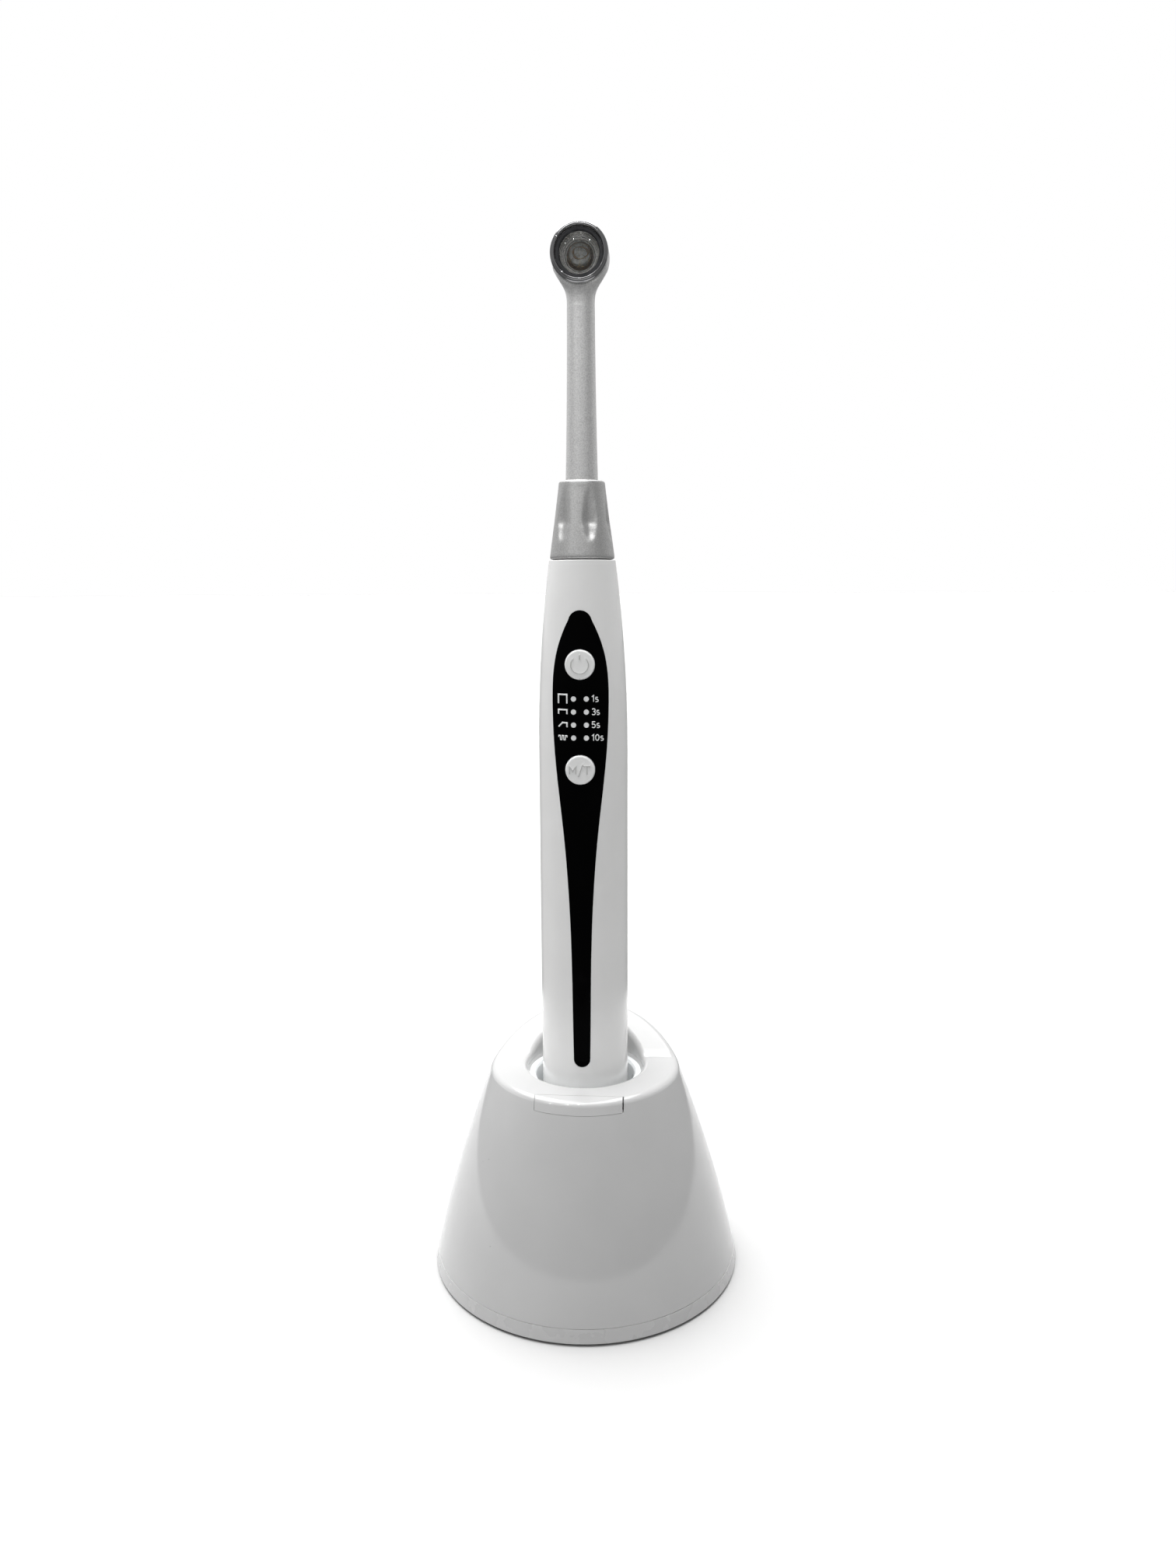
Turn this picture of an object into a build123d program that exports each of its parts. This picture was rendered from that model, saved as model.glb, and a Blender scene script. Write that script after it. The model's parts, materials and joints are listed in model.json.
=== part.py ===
"""Cordless dental curing light standing in its charging base.

Row frame: millimetres, +Z up, origin on the table under the middle of the base, front towards -Y.
Each function returns one named piece, and the list at the end writes each to parts/NODE.step.
"""

import os
from math import cos, radians, sin, sqrt, tan

from build123d import *

# ---- charging base -------------------------------------------------------------------------
foot_height = 0.4                 # rubber showing under the base plate
foot_radius = 5.0
foot_ring_radius = 35.0           # distance of the feet from the middle
plate_rim_top = 5.0               # seam between base plate and shell
plate_rim_radius_low = 47.5
plate_rim_radius_top = 46.9
plate_floor_top = 3.2
shell_radius_low = 46.8           # flank of the shell, a shallow arc through three points
shell_radius_mid = 39.2
shell_radius_rim = 28.7
shell_mid_z = 34.0
rim_z = 64.0                      # flat front part of the top
shell_peak_z = 82.0               # the flank arc is carried past the highest point, then cut
shell_peak_radius = 20.9
shell_wall = 2.0
fold_y = 5.0                      # where the top starts to climb towards the back
climb_angle = 33.0
fold_radius = 9.0
rim_round = 2.2
mouth_radius = 17.9               # opening for the handpiece
mouth_round = 1.8
mouth_wall = 2.2                  # height of the straight wall above the taper
throat_radius = 17.2
throat_z = 61.0
throat_wall_radius = 20.6
tab_half_width = 13.0             # snap tab let into the front of the rim
tab_back_y = -24.2
tab_bottom_z = 60.4
tab_gap = 0.1
tab_right_gap = 0.4               # the finger slot at its right end is wider

cup_radius = 15.3                 # well that the handpiece stands in
cup_wall = 1.8
cup_floor_top = 39.9
cup_floor_thickness = 2.5
seat_radius = 13.45
seat_top = 50.0
flange_thickness = 1.5

boss_ring_radius = 36.0
cup_screw_radius = 18.95
boss_radius = 3.5
boss_top = 34.0
ballast_inner_radius = 14.0
ballast_outer_radius = 31.5
ballast_height = 4.0
board_radius = 14.0
board_thickness = 1.6
board_top = 27.0
board_boss_x = 9.5
inlet_z = 15.0
inlet_nose_y = 44.2
inlet_nose_radius = 4.1
inlet_bore_radius = 3.15
inlet_bore_depth = 9.5

pin_radius = 0.9                  # spring-loaded charging contacts
pin_tip_z = 41.95
pin_flange_radius = 1.3
pin_flange_z = 33.6
pin_flange_height = 1.0
barrel_radius = 1.9
barrel_bore_radius = 1.4
barrel_floor = 0.6
pin_spring_wire = 0.18
pin_offset_y = 5.5                # the outer contact runs on a ring of this radius

# ---- handpiece -----------------------------------------------------------------------------
handle_bottom = 40.0
handle_seam = 44.0                # end cap below, barrel above
handle_radius_low = 13.2
handle_radius_mid = 13.05
taper_start = 163.0
handle_top = 217.0
handle_radius_top = 9.55
handle_wall = 1.8
contact_recess = 2.0
contact_recess_radius = 9.0

panel_top = 203.0                 # black control panel, an outline seen square to its face
panel_bottom = 67.8
panel_tail_half_width = 2.42
panel_depth = 1.0
panel_proud = 0.06
panel_gap = 0.06
button_z = {"power": 187.9, "mode": 158.0}
button_radius = 4.23
button_gap = 0.15
button_proud = 0.75               # button face above the crest of the panel
button_round = 0.6
button_flange_radius = 5.1
button_flange_y = -8.5
relief_height = 0.25              # raised symbols on the button faces
relief_stroke = 0.42
window_rows = [178.25 - 3.7 * row for row in range(4)]
window_x = 1.82
window_radius = 0.76

pcb_face_y = -5.0                 # front face of the main board
pcb_thickness = 1.6
pcb_half_width = 6.0
pcb_bottom = 112.0
pcb_top = 200.0
switch_size = 6.0
switch_height = 1.6
plunger_radius = 1.5
plunger_top_y = -7.3
plunger_length = 1.0
cell_radius = 9.1                 # 18490 lithium cell
cell_length = 49.0
cell_bottom = 53.0

bush_outer_radius = 7.45          # swivel between handle and head
bush_bottom = 206.0
spigot_radius = 5.45
running_clearance = 0.05
spigot_bottom = 203.5
swivel_gap = 0.12
o_ring_z = 212.0
o_ring_section = 0.6
plug_radius = 1.75
plug_bottom = 192.0

# ---- light head ----------------------------------------------------------------------------
collar_top = 239.0
collar_step = 0.12                # the barrel stands this much proud of the collar
collar_radius_top = 6.5
flute_count = 6
flute_phase = 20.0                # degrees from the front
flute_radius = 2.5                # round-nosed cutter, its long nose down
flute_centre = 9.22
flute_nose_z = 231.1
flute_nose_length = 9.0
neck_radius_low = 4.6              # the neck tapers quickly at first, then slowly
neck_radius_mid = 4.12
neck_radius_top = 3.91
neck_mid_z = 263.0
neck_top = 286.5
neck_bore_radius = 2.3
flare_side = [(4.4, 290.0), (6.05, 292.9), (7.3, 294.95)]    # radius and height on the way up
flare_radius = 7.85
flare_depth = 4.0
neck_socket_radius = 3.6
neck_socket_bottom = 230.0
head_z = 298.65                   # middle of the round head; the lens looks straight forward
head_radius = 8.0
head_back = -4.2                  # distances towards the front, from the middle of the neck
head_front = 4.0
head_nose_front = 5.2
head_nose_radius = 7.05
bezel_front = 6.6
bezel_lip_radius = 6.6
cavity_radius = 6.5
led_board_back = -2.4
led_board_thickness = 1.2
lens_back = 3.6
lens_front = 4.9


# ---- shared shapes -------------------------------------------------------------------------
def disc(radius, bottom, top, x=0.0, y=0.0):
    """Upright cylinder between two heights."""
    return Pos(x, y, bottom) * Cylinder(radius, top - bottom, align=(Align.CENTER, Align.CENTER, Align.MIN))


def tube(outer, inner, bottom, top, x=0.0, y=0.0):
    """Upright ring between two heights."""
    return disc(outer, bottom, top, x, y) - disc(inner, bottom - 1, top + 1, x, y)


def block(x_range, y_range, z_range):
    """Box between the given limits."""
    size = [high - low for low, high in (x_range, y_range, z_range)]
    middle = [(high + low) / 2 for low, high in (x_range, y_range, z_range)]
    return Pos(*middle) * Box(*size)


def rod_y(radius, y_low, y_high, x=0.0, z=0.0):
    """Cylinder lying along Y between two places."""
    low_end = Plane(origin=(x, y_low, z), z_dir=(0, 1, 0))
    return extrude(low_end * Circle(radius), y_high - y_low)


def revolved(outline):
    """Solid of revolution about Z from an outline in the XZ plane."""
    return revolve(Plane.XZ * make_face(outline), axis=Axis.Z)


def ring_places(count, radius, first_angle=0.0):
    """Evenly spaced places on a circle about Z, as (x, y)."""
    angles = [radians(first_angle + 360 * i / count) for i in range(count)]
    return [(radius * cos(a), radius * sin(a)) for a in angles]


def coil(radius, wire, bottom, top, turns):
    """Helical spring about Z whose wire surface reaches from bottom to top."""
    height = top - bottom - 2 * wire
    path = Helix(pitch=height / turns, height=height, radius=radius)
    section = Plane(origin=path @ 0, z_dir=path % 0) * Circle(wire)
    return Pos(0, 0, bottom + wire) * sweep(section, path=path, is_frenet=True)


def group(solids):
    """Several separate solids in one node."""
    return Compound(children=[piece for shape in solids for piece in shape.solids()])


# ---- charging base: shell and tab ----------------------------------------------------------
def flank_arc():
    low = (shell_radius_low, plate_rim_top)
    middle = (shell_radius_mid, shell_mid_z)
    rim = (shell_radius_rim, rim_z)
    return low, middle, rim


def flank_solid(inset=0.0):
    """Solid inside the flank, moved in by inset."""
    low, middle, rim = [(x - inset, z) for x, z in flank_arc()]
    peak = (shell_peak_radius - inset, shell_peak_z)
    side = ThreePointArc(low, middle, rim)
    upper = Line(rim, peak)
    close = Polyline(peak, (0, shell_peak_z), (0, plate_rim_top), low)
    return revolved(side + upper + close)


def above_top(lower=0.0):
    """Everything above the top surface, or above the same surface moved in by lower."""
    reach = 60.0
    slope = radians(climb_angle)
    fold = (fold_y + lower * tan(slope / 2), rim_z - lower)
    climb_end = (reach, fold[1] + (reach - fold[0]) * tan(slope))
    front_end = (-reach, fold[1])
    radius = fold_radius + lower
    surface = FilletPolyline(front_end, fold, climb_end, radius=radius)
    lid = Polyline(climb_end, (reach, 140), (-reach, 140), front_end)
    return extrude(Plane.YZ * make_face(surface + lid), reach, both=True)


def mouth_cut():
    """The opening: straight through the top, then narrowing to the throat."""
    outline = Polyline(
        (0, throat_z - 1),
        (throat_radius, throat_z - 1),
        (throat_radius, throat_z),
        (mouth_radius, rim_z - mouth_wall),
        (mouth_radius, 90),
        (0, 90),
        close=True,
    )
    return revolved(outline)


def shell_body():
    """Shell before the tab notch, with its rounded rim and mouth."""
    body = flank_solid() - above_top()
    rim_edges = [e for e in body.edges() if e.center().Z > rim_z - 1]
    outer_rim = [e for e in rim_edges if sqrt(e.center().X ** 2 + e.center().Y ** 2) > 8]
    body = fillet(outer_rim, rim_round)
    room = flank_solid(shell_wall) - above_top(shell_wall)
    room -= disc(throat_wall_radius, throat_z, 100)
    room -= block((-60, 60), (-60, 60), (0, plate_rim_top - 1))
    body -= room
    body -= disc(shell_radius_low - shell_wall, plate_rim_top - 1, plate_rim_top + 0.01)
    body -= mouth_cut()
    mouth_edges = [
        e
        for e in body.edges()
        if e.center().Z > rim_z - 0.4 and abs(max_reach(e) - mouth_radius) < 0.05
    ]
    body = fillet(mouth_edges, mouth_round)
    return body


def max_reach(edge):
    """Largest distance from Z along an edge."""
    points = [edge @ (i / 4) for i in range(5)]
    return max(sqrt(p.X ** 2 + p.Y ** 2) for p in points)


def boss_places():
    """Where the four screws join the shell and the base plate."""
    return ring_places(4, boss_ring_radius, first_angle=45)


def tab_region(gap=0.0, right_gap=0.0):
    """Block that marks out the snap tab in the front of the rim."""
    sides = (-tab_half_width + gap, tab_half_width - right_gap)
    return block(sides, (-60, tab_back_y - gap), (tab_bottom_z + gap, 90))


def base_shell(whole_shell):
    shell = whole_shell - tab_region()
    inside = flank_solid(shell_wall / 2) - above_top(shell_wall / 2)
    for x, y in boss_places():
        shell += disc(boss_radius, plate_rim_top + 0.8, boss_top, x, y) & inside
    for x, y in boss_places():
        shell -= disc(1.2, plate_rim_top, 20, x, y)
    shell -= rod_y(inlet_nose_radius + 0.1, 36, 60, z=inlet_z)
    for x, y in ring_places(3, cup_screw_radius, first_angle=30):
        shell -= disc(0.9, throat_z - 1, throat_z + 1.3, x, y)
    return shell


def front_snap_tab(whole_shell):
    """Tab with the rim's own section, plus a hook that holds it behind the rim."""
    tab = whole_shell & tab_region(tab_gap, tab_right_gap)
    hook = block((-8, 8), (tab_back_y - 2.0, tab_back_y - tab_gap), (tab_bottom_z - 1.6, rim_z - 1))
    return tab + hook


# ---- charging base: well, plate and weight --------------------------------------------------
def well_cup():
    outer_radius = cup_radius + cup_wall
    floor_bottom = cup_floor_top - cup_floor_thickness
    outline = Polyline(
        (0, floor_bottom),
        (outer_radius, floor_bottom),
        (outer_radius, throat_z - flange_thickness),
        (throat_wall_radius, throat_z - flange_thickness),
        (throat_wall_radius, throat_z),
        (cup_radius + 0.5, throat_z),
        (cup_radius, throat_z - 0.8),
        (cup_radius, seat_top + 2.05),
        (seat_radius, seat_top),
        (seat_radius, cup_floor_top),
        (0, cup_floor_top),
        close=True,
    )
    cup = revolved(outline)
    for y in (0, pin_offset_y):
        cup -= disc(barrel_radius, 30, 45, 0, y)
    for x in (-board_boss_x, board_boss_x):
        cup += disc(2.4, board_top, floor_bottom, x, -4)
        cup -= disc(0.95, board_top - 1, floor_bottom - 1, x, -4)
    for x, y in ring_places(3, cup_screw_radius, first_angle=30):
        cup -= disc(1.1, 50, 65, x, y)
    return cup


def base_plate():
    bottom = foot_height
    rim_top = plate_rim_top - 0.15
    outline = Polyline(
        (0, bottom),
        (plate_rim_radius_low - 0.5, bottom),
        (plate_rim_radius_low, bottom + 0.5),
        (plate_rim_radius_top, rim_top),
        (shell_radius_low - shell_wall - 0.15, rim_top),
        (shell_radius_low - shell_wall - 0.8, rim_top + 2.4),
        (shell_radius_low - shell_wall - 2.2, rim_top + 2.4),
        (shell_radius_low - shell_wall - 2.2, plate_floor_top),
        (0, plate_floor_top),
        close=True,
    )
    plate = revolved(outline)
    for x, y in ring_places(4, foot_ring_radius):
        plate -= disc(foot_radius, bottom - 1, bottom + 0.6, x, y)
    for x, y in boss_places():
        plate += tube(boss_radius, 1.5, plate_floor_top, plate_rim_top + 0.7, x, y)
        plate -= disc(1.5, bottom - 1, plate_rim_top + 1, x, y)
        plate -= disc(2.6, bottom - 1, bottom + 1.9, x, y)
    for x, y in ring_places(12, 20.0):
        plate -= block((x - 0.8, x + 0.8), (y - 2.5, y + 2.5), (0, 5))
    return plate


def rubber_feet():
    feet = []
    for x, y in ring_places(4, foot_ring_radius):
        foot = disc(foot_radius - 0.05, 0, foot_height + 0.6, x, y)
        feet.append(fillet(foot.edges().sort_by(Axis.Z)[0], 0.4))
    return group(feet)


def cross_head_screw(head_radius, head_height, shank_radius, shank_length):
    """Screw standing on its head at the origin, shank up, with a cross recess underneath."""
    head = fillet(disc(head_radius, 0, head_height).edges().sort_by(Axis.Z)[0], head_height * 0.4)
    arm = head_radius * 0.62
    slot = head_radius * 0.15
    recess = block((-arm, arm), (-slot, slot), (-1, head_height * 0.55))
    recess += block((-slot, slot), (-arm, arm), (-1, head_height * 0.55))
    return head - recess + disc(shank_radius, head_height, head_height + shank_length)


def base_screws():
    screw = cross_head_screw(2.4, 1.6, 1.2, 14.0)
    return group([Pos(x, y, foot_height + 0.3) * screw for x, y in boss_places()])


def cup_screws():
    screw = cross_head_screw(1.7, 1.2, 0.9, 2.6)
    bottom = throat_z - flange_thickness - 1.2
    return group([Pos(x, y, bottom) * screw for x, y in ring_places(3, cup_screw_radius, first_angle=30)])


def ballast_ring():
    bottom = plate_floor_top
    ring = tube(ballast_outer_radius, ballast_inner_radius, bottom, bottom + ballast_height)
    return chamfer(ring.edges().group_by(Axis.Z)[-1], 0.5)


# ---- charging base: electrics ----------------------------------------------------------------
def charge_board():
    board = disc(board_radius, board_top - board_thickness, board_top)
    for x in (-board_boss_x, board_boss_x):
        board -= disc(1.1, 20, 30, x, -4)
    chip = block((-3.5, 3.5), (-11.5, -6.5), (board_top, board_top + 1.4))
    return group([board, chip])


def board_screws():
    screw = cross_head_screw(1.9, 1.3, 0.95, 7.5)
    bottom = board_top - board_thickness - 1.3
    return group([Pos(x, -4, bottom) * screw for x in (-board_boss_x, board_boss_x)])


def contact_barrels():
    barrels = []
    bore_top = pin_flange_z + pin_flange_height + 0.02
    for y in (0, pin_offset_y):
        barrel = disc(barrel_radius, board_top, cup_floor_top - 0.1, 0, y)
        barrel -= disc(barrel_bore_radius, board_top + barrel_floor, bore_top, 0, y)
        barrel -= disc(pin_radius + running_clearance, board_top + barrel_floor, 50, 0, y)
        barrels.append(barrel)
    return group(barrels)


def charge_pin(y):
    pin = disc(pin_radius, pin_flange_z, pin_tip_z, 0, y)
    pin = fillet(pin.edges().sort_by(Axis.Z)[-1], pin_radius * 0.7)
    return pin + disc(pin_flange_radius, pin_flange_z, pin_flange_z + pin_flange_height, 0, y)


def pin_spring(y):
    radius = barrel_bore_radius - pin_spring_wire - 0.12
    return Pos(0, y, 0) * coil(radius, pin_spring_wire, board_top + barrel_floor, pin_flange_z, 7)


def power_inlet():
    """Barrel-connector socket: round nose, square body behind it."""
    nose_back = inlet_nose_y - 9.5
    nose = rod_y(inlet_nose_radius, nose_back, inlet_nose_y, z=inlet_z)
    body = block((-4.6, 4.6), (nose_back - 5.0, nose_back), (inlet_z - 5.2, inlet_z + 5.2))
    bore = rod_y(inlet_bore_radius, inlet_nose_y - inlet_bore_depth, inlet_nose_y + 1, z=inlet_z)
    return nose + body - bore


def inlet_pin():
    back = inlet_nose_y - inlet_bore_depth
    pin = rod_y(1.0, back, inlet_nose_y - 0.8, z=inlet_z)
    return fillet(pin.edges().sort_by(Axis.Y)[-1], 0.5)


def inlet_wires():
    """Two leads from the inlet's back up to the underside of the charging board."""
    start_y = inlet_nose_y - 9.5 - 5.0
    end_z = board_top - board_thickness
    wires = []
    for x in (-2.5, 2.5):
        route = [(x, start_y, inlet_z), (x, 10, inlet_z), (x, 10, end_z)]
        path = FilletPolyline(*route, radius=5.0)
        section = Plane(origin=path @ 0, z_dir=path % 0) * Circle(0.65)
        wires.append(sweep(section, path=path))
    return group(wires)


# ---- handpiece: barrel and panel -------------------------------------------------------------
def barrel_side(inset=0.0, bottom=handle_seam, top=handle_top):
    """Edge of the barrel's side from bottom to top, moved in by inset."""
    low = (handle_radius_low - inset, bottom)
    mid = (handle_radius_mid - inset, taper_start)
    high = (handle_radius_top - inset, top)
    straight = Line(low, mid)
    return straight + TangentArc(mid, high, tangent=(straight % 1))


def barrel_solid(inset=0.0, bottom=handle_seam, top=handle_top):
    close = Polyline(
        (handle_radius_top - inset, top),
        (0, top),
        (0, bottom),
        (handle_radius_low - inset, bottom),
    )
    return revolved(barrel_side(inset, bottom, top) + close)


def barrel_radius_at(z):
    """Outer radius of the barrel at a height."""
    if z <= taper_start:
        share = (z - handle_seam) / (taper_start - handle_seam)
        return handle_radius_low + share * (handle_radius_mid - handle_radius_low)
    rise = handle_top - taper_start
    drop = handle_radius_mid - handle_radius_top
    return handle_radius_mid - drop * ((z - taper_start) / rise) ** 2


def panel_outline(grow=0.0):
    """Teardrop with a long tail and a blunt tip, in X and Z."""
    tail = (panel_tail_half_width, panel_bottom + panel_tail_half_width)
    runs = [
        ([tail, (2.95, 106.0), (4.66, 136.0)], 0.02, 0.09),
        ([(4.66, 136.0), (7.06, 158.5), (8.0, 178.0)], 0.09, 0.0),
        ([(8.0, 178.0), (6.42, 192.5), (3.25, 200.4)], 0.0, -0.52),
    ]
    right_side = []
    left_side = []
    for points, start, finish in runs:
        right = [(x + grow, z) for x, z in points]
        left = [(-x, z) for x, z in reversed(right)]
        right_side.append(Spline(*right, tangents=[(start, 1), (finish, 1)]))
        left_side.insert(0, Spline(*left, tangents=[(finish, -1), (start, -1)]))
    crown = ThreePointArc(right_side[-1] @ 1, (0, panel_top + grow), left_side[0] @ 0)
    end = ThreePointArc(left_side[-1] @ 1, (0, panel_bottom - grow), right_side[0] @ 0)
    return make_face(Curve() + right_side + [crown] + left_side + [end])


def panel_prism(grow=0.0):
    """The outline carried forward from the middle of the handle."""
    return extrude(Plane.XZ * panel_outline(grow), 20, dir=(0, -1, 0))


def handle_shell():
    shell = barrel_solid()
    room = barrel_solid(handle_wall, handle_seam - 1) & disc(30, 0, bush_bottom - 6)
    shell = shell - room - disc(bush_outer_radius, bush_bottom - 7, handle_top + 1)
    pocket = (barrel_solid(-1.0) - barrel_solid(panel_depth)) & panel_prism(panel_gap)
    shell -= pocket
    for z in button_z.values():
        shell -= rod_y(button_radius + button_gap, -20, 0, z=z)
    for z in window_rows:
        for x in (-window_x, window_x):
            shell -= rod_y(window_radius, -20, 0, x=x, z=z)
    top_edge = shell.edges().group_by(Axis.Z)[-1].sort_by(SortBy.RADIUS)[-1]
    return fillet(top_edge, 0.25)


def panel_overlay():
    skin = barrel_solid(-panel_proud) - barrel_solid(panel_depth)
    panel = skin & panel_prism()
    outer_edges = [
        e for e in panel.edges() if e.length > 60 and e.center().Y < -barrel_radius_at(130) + 0.75
    ]
    if outer_edges:
        panel = chamfer(outer_edges, 0.12)
    for z in button_z.values():
        panel -= rod_y(button_radius + button_gap, -20, 0, z=z)
    for z in window_rows:
        for x in (-window_x, window_x):
            panel -= rod_y(window_radius, -20, 0, x=x, z=z)
    return panel


def indicator_windows():
    """Light pipes behind the eight indicator dots."""
    windows = []
    for z in window_rows:
        front = -(barrel_radius_at(z) + panel_proud - 0.12)
        for x in (-window_x, window_x):
            windows.append(rod_y(window_radius - 0.02, front, -9.6, x=x, z=z))
    return group(windows)


# ---- handpiece: buttons ----------------------------------------------------------------------
def button_body(z):
    """Round cap, retaining flange inside the barrel and a stem down to the switch."""
    face_y = -(barrel_radius_at(z) + button_proud)
    cap = rod_y(button_radius, face_y, button_flange_y + 0.5, z=z)
    cap = fillet(cap.edges().sort_by(Axis.Y)[0], button_round)
    flange = rod_y(button_flange_radius, button_flange_y, button_flange_y + 0.5, z=z)
    stem = rod_y(1.4, button_flange_y, plunger_top_y, z=z)
    return cap + flange + stem, face_y


def raised(sketch, z, face_y):
    """A sketch drawn as seen from the front, standing proud of a button face."""
    face = Plane(origin=(0, face_y + 0.05, z), x_dir=(1, 0, 0), z_dir=(0, -1, 0))
    return extrude(face * sketch, relief_height + 0.05)


def power_symbol():
    """Open ring with a bar in its gap."""
    gap = radians(44)
    size = 2.5
    ends = [(-size * sin(gap), size * cos(gap)), (size * sin(gap), size * cos(gap))]
    ring = ThreePointArc(ends[0], (0, -size), ends[1])
    bar = Line((0, 0.56 * size), (0, 1.14 * size))
    return trace(ring, relief_stroke) + trace(bar, relief_stroke)


def mode_symbol():
    """Mode and time mark: a peaked wave, a slash and a bar on a post."""
    wave = Polyline((-3.0, -1.1), (-3.0, 1.1), (-2.1, -0.3), (-1.2, 1.1), (-1.2, -1.1))
    slash = Line((-0.5, -1.9), (0.8, 1.75))
    bar = Line((1.0, 1.2), (3.0, 1.2))
    post = Line((2.0, 1.2), (2.0, -1.2))
    strokes = [wave, slash, bar, post]
    return Sketch() + [trace(line, relief_stroke) for line in strokes]


def power_button():
    z = button_z["power"]
    body, face_y = button_body(z)
    gate_notch = rod_y(0.35, face_y - 1, face_y + 0.5, x=0.1, z=z - button_radius + 0.1)
    return body + raised(power_symbol(), z, face_y) - gate_notch


def mode_button():
    body, face_y = button_body(button_z["mode"])
    return body + raised(mode_symbol(), button_z["mode"], face_y)


def switch_plunger(z):
    return rod_y(plunger_radius, plunger_top_y, plunger_top_y + plunger_length, z=z)


# ---- handpiece: electronics ------------------------------------------------------------------
def main_board():
    back = pcb_face_y + pcb_thickness
    return block((-pcb_half_width, pcb_half_width), (pcb_face_y, back), (pcb_bottom, pcb_top))


def switch_bodies():
    """Tactile switches with a well for the plunger, one under each button."""
    half = switch_size / 2
    switches = []
    for z in button_z.values():
        body = block((-half, half), (pcb_face_y - switch_height, pcb_face_y), (z - half, z + half))
        well = rod_y(plunger_radius + 0.08, pcb_face_y - 5, pcb_face_y - 0.7, z=z)
        switches.append(body - well)
    return group(switches)


def indicator_leds():
    leds = []
    for z in window_rows:
        for x in (-window_x, window_x):
            leds.append(block((x - 0.8, x + 0.8), (pcb_face_y - 0.7, pcb_face_y), (z - 0.5, z + 0.5)))
    return group(leds)


def control_chip():
    return block((-3.5, 3.5), (pcb_face_y - 1.2, pcb_face_y), (138, 145))


def buzzer():
    """Sounder on the main board, with its sound hole."""
    body = rod_y(4.5, pcb_face_y - 2.6, pcb_face_y, z=126)
    return body - rod_y(0.8, pcb_face_y - 3, pcb_face_y - 1.5, z=126)


def board_carrier():
    """Frame that holds the main board and closes the cell bay."""
    board_back = pcb_face_y + pcb_thickness
    plate = block((-6.6, 6.6), (board_back, board_back + 1.2), (106, 188))
    bulkhead = disc(handle_radius_mid - handle_wall - 0.15, 104, 106)
    rib = block((-0.7, 0.7), (board_back + 1.2, 6), (106, 186))
    rails = [block((side * 6.6 - 0.8, side * 6.6 + 0.8), (board_back, 3), (106, 186)) for side in (-1, 1)]
    carrier = plate + bulkhead + rib
    for rail in rails:
        carrier += rail
    return carrier


def battery_cell():
    cell = disc(cell_radius, cell_bottom, cell_bottom + cell_length)
    cell = fillet(cell.edges(), 0.8)
    return cell + disc(3.0, cell_bottom + cell_length, cell_bottom + cell_length + 0.8)


def cell_top_contact():
    """Sprung strip under the bulkhead that meets the cell's raised end."""
    z = cell_bottom + cell_length + 0.8
    return block((-4, 4), (-2, 2), (z, z + 0.4)) + block((3.6, 4), (-2, 2), (z, 104))


def cell_spring():
    return coil(5.0, 0.5, 50.4, cell_bottom, 2.5)


def end_cap():
    """Cap that closes the barrel's foot and carries the charging contacts in a recess."""
    cap = disc(handle_radius_low, handle_bottom, handle_seam - 0.1)
    cap = fillet(cap.edges().sort_by(Axis.Z)[0], 1.0)
    cap += disc(handle_radius_low - handle_wall - 0.05, handle_seam - 0.1, 49.5)
    cap -= disc(contact_recess_radius, handle_bottom - 1, handle_bottom + contact_recess)
    contact_top = handle_bottom + contact_recess + 0.6
    cap -= disc(2.2, handle_bottom, contact_top)
    cap -= tube(6.9, 4.1, handle_bottom + contact_recess - 0.5, contact_top)
    cap -= disc(9.4, 46.5, 60)
    cap -= tube(13, handle_radius_low - handle_wall - 0.9, 47.05, 47.95)
    return cap


def contact_centre():
    bottom = handle_bottom + contact_recess
    return disc(2.2, bottom, bottom + 0.6)


def contact_ring():
    bottom = handle_bottom + contact_recess
    return tube(6.9, 4.1, bottom, bottom + 0.6)


def contact_board():
    """Small round board above the contacts that feeds the cell spring."""
    return disc(9.3, 48.8, 50.4)


def cap_seal():
    """O-ring round the end cap's spigot."""
    return Pos(0, 0, 47.5) * Torus(handle_radius_low - handle_wall - 0.45, 0.4)


# ---- handpiece: swivel seat ------------------------------------------------------------------
def swivel_bush():
    inner = spigot_radius + running_clearance
    return tube(bush_outer_radius, inner, bush_bottom, handle_top - 0.3)


def head_socket():
    """Jack socket that the head's plug turns in."""
    socket = disc(3.4, 189.5, 202.5)
    return socket - disc(plug_radius + 0.1, plug_bottom - 0.6, 210)


def socket_contacts():
    """Leaf contacts either side of the jack socket."""
    leaves = []
    for side in (-1, 1):
        x = side * 3.65
        leaves.append(block((x - 0.25, x + 0.25), (-1.2, 1.2), (190.5, 201)))
    return group(leaves)


# ---- light head: collar, neck and plug -------------------------------------------------------
def flute_cutter():
    """Straight cutter with a long rounded nose that scoops the flute's lower end."""
    depths = [flute_nose_length * share for share in (1.0, 0.93, 0.78, 0.5, 0.0)]
    side = [(flute_radius * sqrt(1 - (d / flute_nose_length) ** 2), -d) for d in depths]
    nose = Spline(*side, tangents=[(1, 0), (0, 1)])
    top = 20.0
    close = Polyline((flute_radius, 0), (flute_radius, top), (0, top), (0, -flute_nose_length))
    return revolved(nose + close)


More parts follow.
